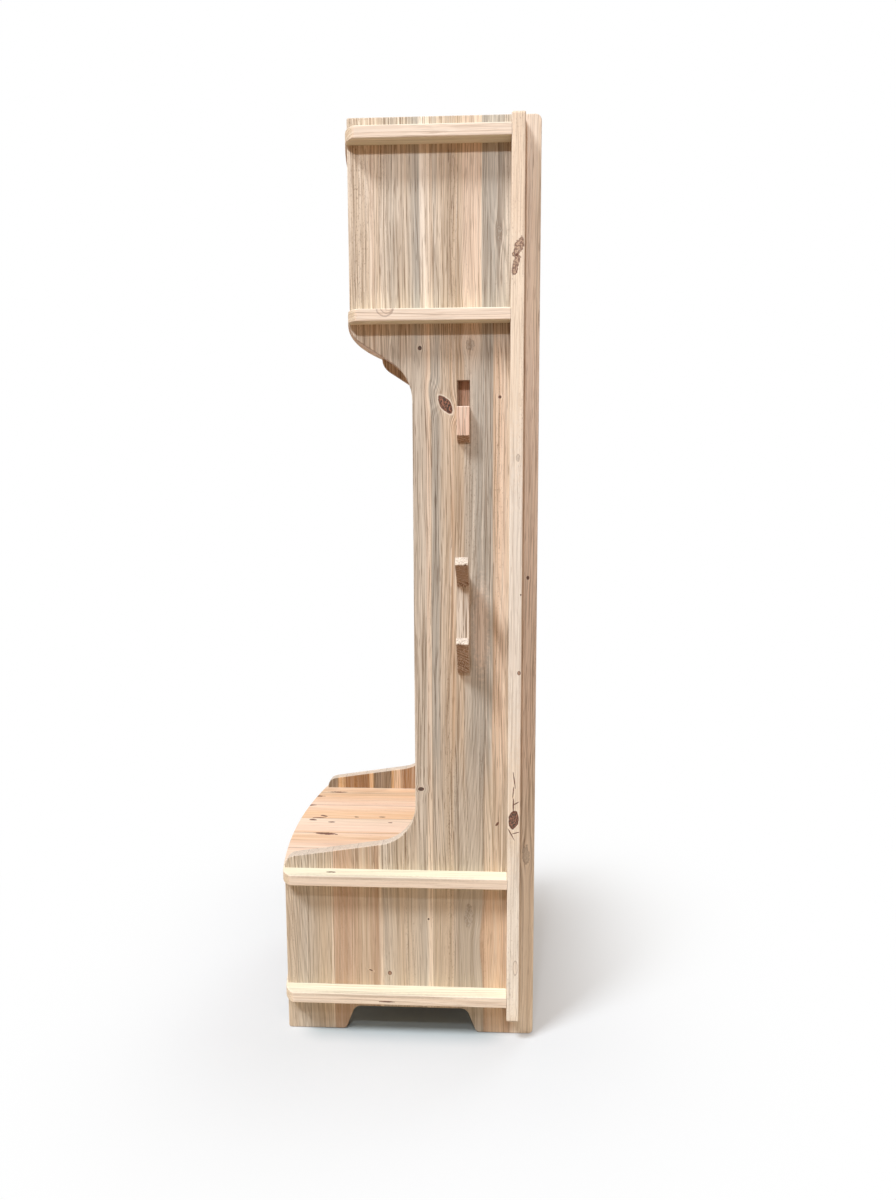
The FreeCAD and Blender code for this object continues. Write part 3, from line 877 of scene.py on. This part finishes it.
def screwFinish(look):
    material, tree, shader = newMaterial("zinc screws")
    point = tree.nodes.new("ShaderNodeTexCoord").outputs["Object"]
    patches = noise(tree, point, *look["patches"])["Fac"]
    scratches = noise(tree, point, look["scratches"])["Fac"]
    colour = blend(tree, ease(tree, patches, *look["dulling"]), look["bright"], look["dull"])
    feed(tree, shader.inputs["Base Color"], colour)
    feed(tree, shader.inputs["Roughness"], span(tree, scratches, *look["rough"]))
    shader.inputs["Metallic"].default_value = 1.0
    addBump(tree, shader, scratches, *look["bump"])
    return material


dress(screwFinish(screwZinc), "top_shelf_screws", "hat_shelf_screws", "seat_screws", "bottom_shelf_screws")
print("screws dressed")


# Floor and background: pale floor that runs out into white

floorLook = {
    "half": 14.0, "segments": 4, "drop": 0.0004, "stand": (0.27, 0.18),
    "seenUnderShade": tone(172, 184, 188), "seen": tone(218, 221, 224), "underReach": (0.0, 0.08),
    "bounceUnder": tone(50, 46, 42), "bounceNear": tone(200, 187, 168), "bounceFar": tone(142, 105, 75),
    "bounceReach": (0.5, 1.4), "mottle": ((3.0, 3.0, 3.0), 3.0), "rough": (0.8, 0.9), "specular": 0.1,
    "nearShare": 0.2, "fades": ((0.04, 1.0), (0.36, 2.0)),  # reach and power of the near and the far fade
}
worldLook = {"ambient": (1.0, 0.69, 0.43, 1.0), "strength": 0.3, "white": (1.0, 1.0, 1.0, 1.0)}


def seenRay(tree):
    path = tree.nodes.new("ShaderNodeLightPath").outputs
    mirrored = calc(tree, "MAXIMUM", path["Is Glossy Ray"], path["Is Transmission Ray"])
    return calc(tree, "MAXIMUM", path["Is Camera Ray"], mirrored)


def mixShaders(tree, share, first, second, output):
    both = tree.nodes.new("ShaderNodeMixShader")
    for socket, value in zip(both.inputs, (share, first.outputs[0], second.outputs[0])):
        feed(tree, socket, value)
    feed(tree, tree.nodes[output].inputs["Surface"], both.outputs[0])


# how far a point of the floor lies from the stand
def floorDistance(tree, point, look):
    sides = split(tree, vectorCalc(tree, "ABSOLUTE", point))
    beyond = [calc(tree, "MAXIMUM", calc(tree, "SUBTRACT", side, edge), 0.0)
              for side, edge in zip(sides, look["stand"])]
    return vectorCalc(tree, "LENGTH", join(tree, *beyond, 0.0))


# share of white, from none under the stand to all of it far out
def floorFade(tree, distance, look):
    fades = []
    for reach, power in look["fades"]:
        steps = calc(tree, "POWER", calc(tree, "DIVIDE", distance, reach), power)
        left = calc(tree, "EXPONENT", calc(tree, "MULTIPLY", steps, -1.0))
        fades.append(invert(tree, left))
    near = calc(tree, "MULTIPLY", fades[0], look["nearShare"])
    return calc(tree, "MULTIPLY_ADD", fades[1], 1.0 - look["nearShare"], near)


def floorFinish(look):
    material, tree, shader = newMaterial("studio floor")
    point = tree.nodes.new("ShaderNodeTexCoord").outputs["Object"]
    seen = seenRay(tree)
    mottle = noise(tree, point, *look["mottle"])["Fac"]
    distance = floorDistance(tree, point, look)
    clear = ease(tree, distance, *look["underReach"])
    bounce = blend(tree, clear, look["bounceUnder"], look["bounceNear"])
    bounce = blend(tree, ease(tree, distance, *look["bounceReach"]), bounce, look["bounceFar"])
    # under the stand the floor the camera sees is painted darker, painted shade, and it bounces little light
    # there
    shown = blend(tree, clear, look["seenUnderShade"], look["seen"])
    feed(tree, shader.inputs["Base Color"], blend(tree, seen, bounce, shown))
    feed(tree, shader.inputs["Roughness"], span(tree, mottle, *look["rough"]))
    shader.inputs["Specular IOR Level"].default_value = look["specular"]
    white = tree.nodes.new("ShaderNodeEmission")
    share = calc(tree, "MULTIPLY", floorFade(tree, distance, look), seen)
    mixShaders(tree, share, shader, white, "Material Output")
    return material


def makeFloor(look):
    shape = bmesh.new()
    bmesh.ops.create_grid(shape, x_segments=look["segments"], y_segments=look["segments"], size=look["half"])
    bmesh.ops.translate(shape, verts=shape.verts, vec=(0, 0, -look["drop"]))
    mesh = bpy.data.meshes.new("studio floor")
    shape.to_mesh(mesh)
    shape.free()
    floor = bpy.data.objects.new("studio_floor", mesh)
    bpy.context.scene.collection.objects.link(floor)
    mesh.materials.append(floorFinish(look))


def makeWorld(look):
    world = bpy.data.worlds.new("studio white")
    world.use_nodes = True
    bpy.context.scene.world = world
    tree = world.node_tree
    light = tree.nodes["Background"]
    light.inputs["Color"].default_value = look["ambient"]
    light.inputs["Strength"].default_value = look["strength"]
    white = tree.nodes.new("ShaderNodeBackground")
    white.inputs["Color"].default_value = look["white"]
    mixShaders(tree, seenRay(tree), light, white, "World Output")


makeFloor(floorLook)
makeWorld(worldLook)


# Lamps: a small round lamp beside the stand, a far lamp in front and above, and weaker far lights from the
# near side, from behind and from the front

lampColour = (0.97, 1.03, 1.09)
sideLamp = {"place": (2.8, 0.0, 3.1), "aim": (0.28, 0.0, 1.8), "watts": 10.5, "across": 0.2, "spread": 110}
farLamps = {
    "frontLamp": {"source": (1.0, -1.1, 2.15), "strength": 2.72, "angle": 14},
    "softSide": {"source": (1.0, 0.3, 0.4), "strength": 0.12, "angle": 60},
    "rearFill": {"source": (-1.0, 0.6, 0.3), "strength": 1.2, "angle": 30},
    "frontFill": {"source": (-0.3, -1.0, 0.1), "strength": 0.6, "angle": 50},
}


def addLamp(name, kind, source):
    data = bpy.data.lights.new(name, kind)
    data.color = lampColour
    lamp = bpy.data.objects.new(name, data)
    lamp.rotation_euler = Vector(source).to_track_quat("Z", "Y").to_euler()
    lamp.visible_camera = False
    bpy.context.scene.collection.objects.link(lamp)
    return lamp, data


def makeLamps(near, far):
    lamp, data = addLamp("sideLamp", "AREA", Vector(near["place"]) - Vector(near["aim"]))
    lamp.location = near["place"]
    data.shape = "DISK"
    data.size = near["across"]
    data.energy = near["watts"]
    data.spread = math.radians(near["spread"])
    for name, look in far.items():
        lamp, data = addLamp(name, "SUN", look["source"])
        data.energy = look["strength"]
        data.angle = math.radians(look["angle"])


makeLamps(sideLamp, farLamps)
print("floor, background and lamps ready")


# Camera: beside the stand, a little behind its middle and looking down

photoCamera = {"place": (2.21755, 0.20968, 1.27048), "turn": 3.08, "dip": 7.66, "roll": -0.17,
               "lens": 27.0, "sensor": 36.0}


def makeCamera(look):
    turn, dip, roll = (math.radians(look[key]) for key in ("turn", "dip", "roll"))
    upright = Vector((0, 0, 1))
    level = Vector((-math.cos(turn), -math.sin(turn), 0))
    sideways = Vector((-math.sin(turn), math.cos(turn), 0))
    ahead = level * math.cos(dip) - upright * math.sin(dip)
    above = upright * math.cos(dip) + level * math.sin(dip)
    right = sideways * math.cos(roll) + above * math.sin(roll)
    top = above * math.cos(roll) - sideways * math.sin(roll)
    data = bpy.data.cameras.new("photo camera")
    data.sensor_fit = "AUTO"
    data.sensor_width = look["sensor"]
    data.lens = look["lens"]
    camera = bpy.data.objects.new("photo_camera", data)
    turned = Matrix((right, top, -ahead)).transposed().to_4x4()
    camera.matrix_world = Matrix.Translation(Vector(look["place"])) @ turned
    bpy.context.scene.collection.objects.link(camera)
    bpy.context.scene.camera = camera


makeCamera(photoCamera)
bpy.context.scene.view_settings.view_transform = "Standard"
print("camera set")
